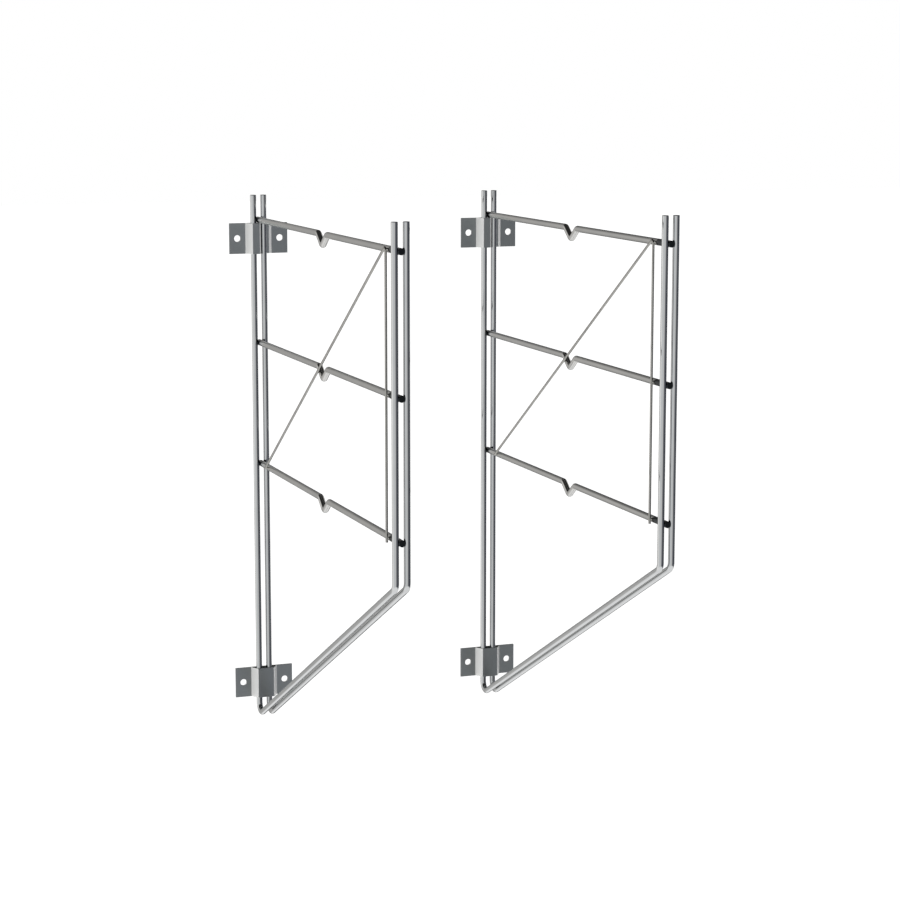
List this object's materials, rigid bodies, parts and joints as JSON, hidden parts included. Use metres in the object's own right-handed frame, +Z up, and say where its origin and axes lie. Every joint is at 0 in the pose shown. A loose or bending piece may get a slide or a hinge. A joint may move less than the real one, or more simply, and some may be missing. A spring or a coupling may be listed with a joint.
{
  "type": "wall mounted drying rack side frames",
  "caption": "Set of two chromed welded rod frames held on a wall by bent sheet clips with backing strips, with V notched bars that carry drying rods or lines.",
  "frame": {"origin": "in the wall plane, half way between the two frames, in the middle of the eight screw holes", "axes": "+Z up the wall, -Y out of the wall towards the user, +X to the right of someone who faces the wall"},
  "size_m": [0.322, 0.4694, 0.5583],
  "materials": {
    "rod_chrome": "polished chrome plate on 6.35 mm round steel rod",
    "bar_chrome": "chrome plate, slightly drawn, on 6.35 mm round steel rod",
    "wire_chrome": "chrome plate on 2.4 mm round steel wire",
    "clip_steel": "satin plated 1 mm sheet steel"
  },
  "bodies": {
    "wall_clips": {"left_frame_upper_clip": "clip_steel", "left_frame_lower_clip": "clip_steel", "left_frame_upper_clip_backing": "clip_steel", "left_frame_lower_clip_backing": "clip_steel", "right_frame_upper_clip": "clip_steel", "right_frame_lower_clip": "clip_steel", "right_frame_upper_clip_backing": "clip_steel", "right_frame_lower_clip_backing": "clip_steel"},
    "left_frame": {"left_frame_left_rod": "rod_chrome", "left_frame_right_rod": "rod_chrome", "left_frame_top_bar": "bar_chrome", "left_frame_middle_bar": "bar_chrome", "left_frame_lower_bar": "bar_chrome", "left_frame_brace_wire": "wire_chrome"},
    "right_frame": {"right_frame_left_rod": "rod_chrome", "right_frame_right_rod": "rod_chrome", "right_frame_top_bar": "bar_chrome", "right_frame_middle_bar": "bar_chrome", "right_frame_lower_bar": "bar_chrome", "right_frame_brace_wire": "wire_chrome"}
  },
  "joints": [
    {"name": "left_frame_lift", "type": "slide", "parent": "wall_clips", "child": "left_frame", "axis": [0, 0, 1], "range_m": [0, 0.005]},
    {"name": "right_frame_lift", "type": "slide", "parent": "wall_clips", "child": "right_frame", "axis": [0, 0, 1], "range_m": [0, 0.005]}
  ]
}
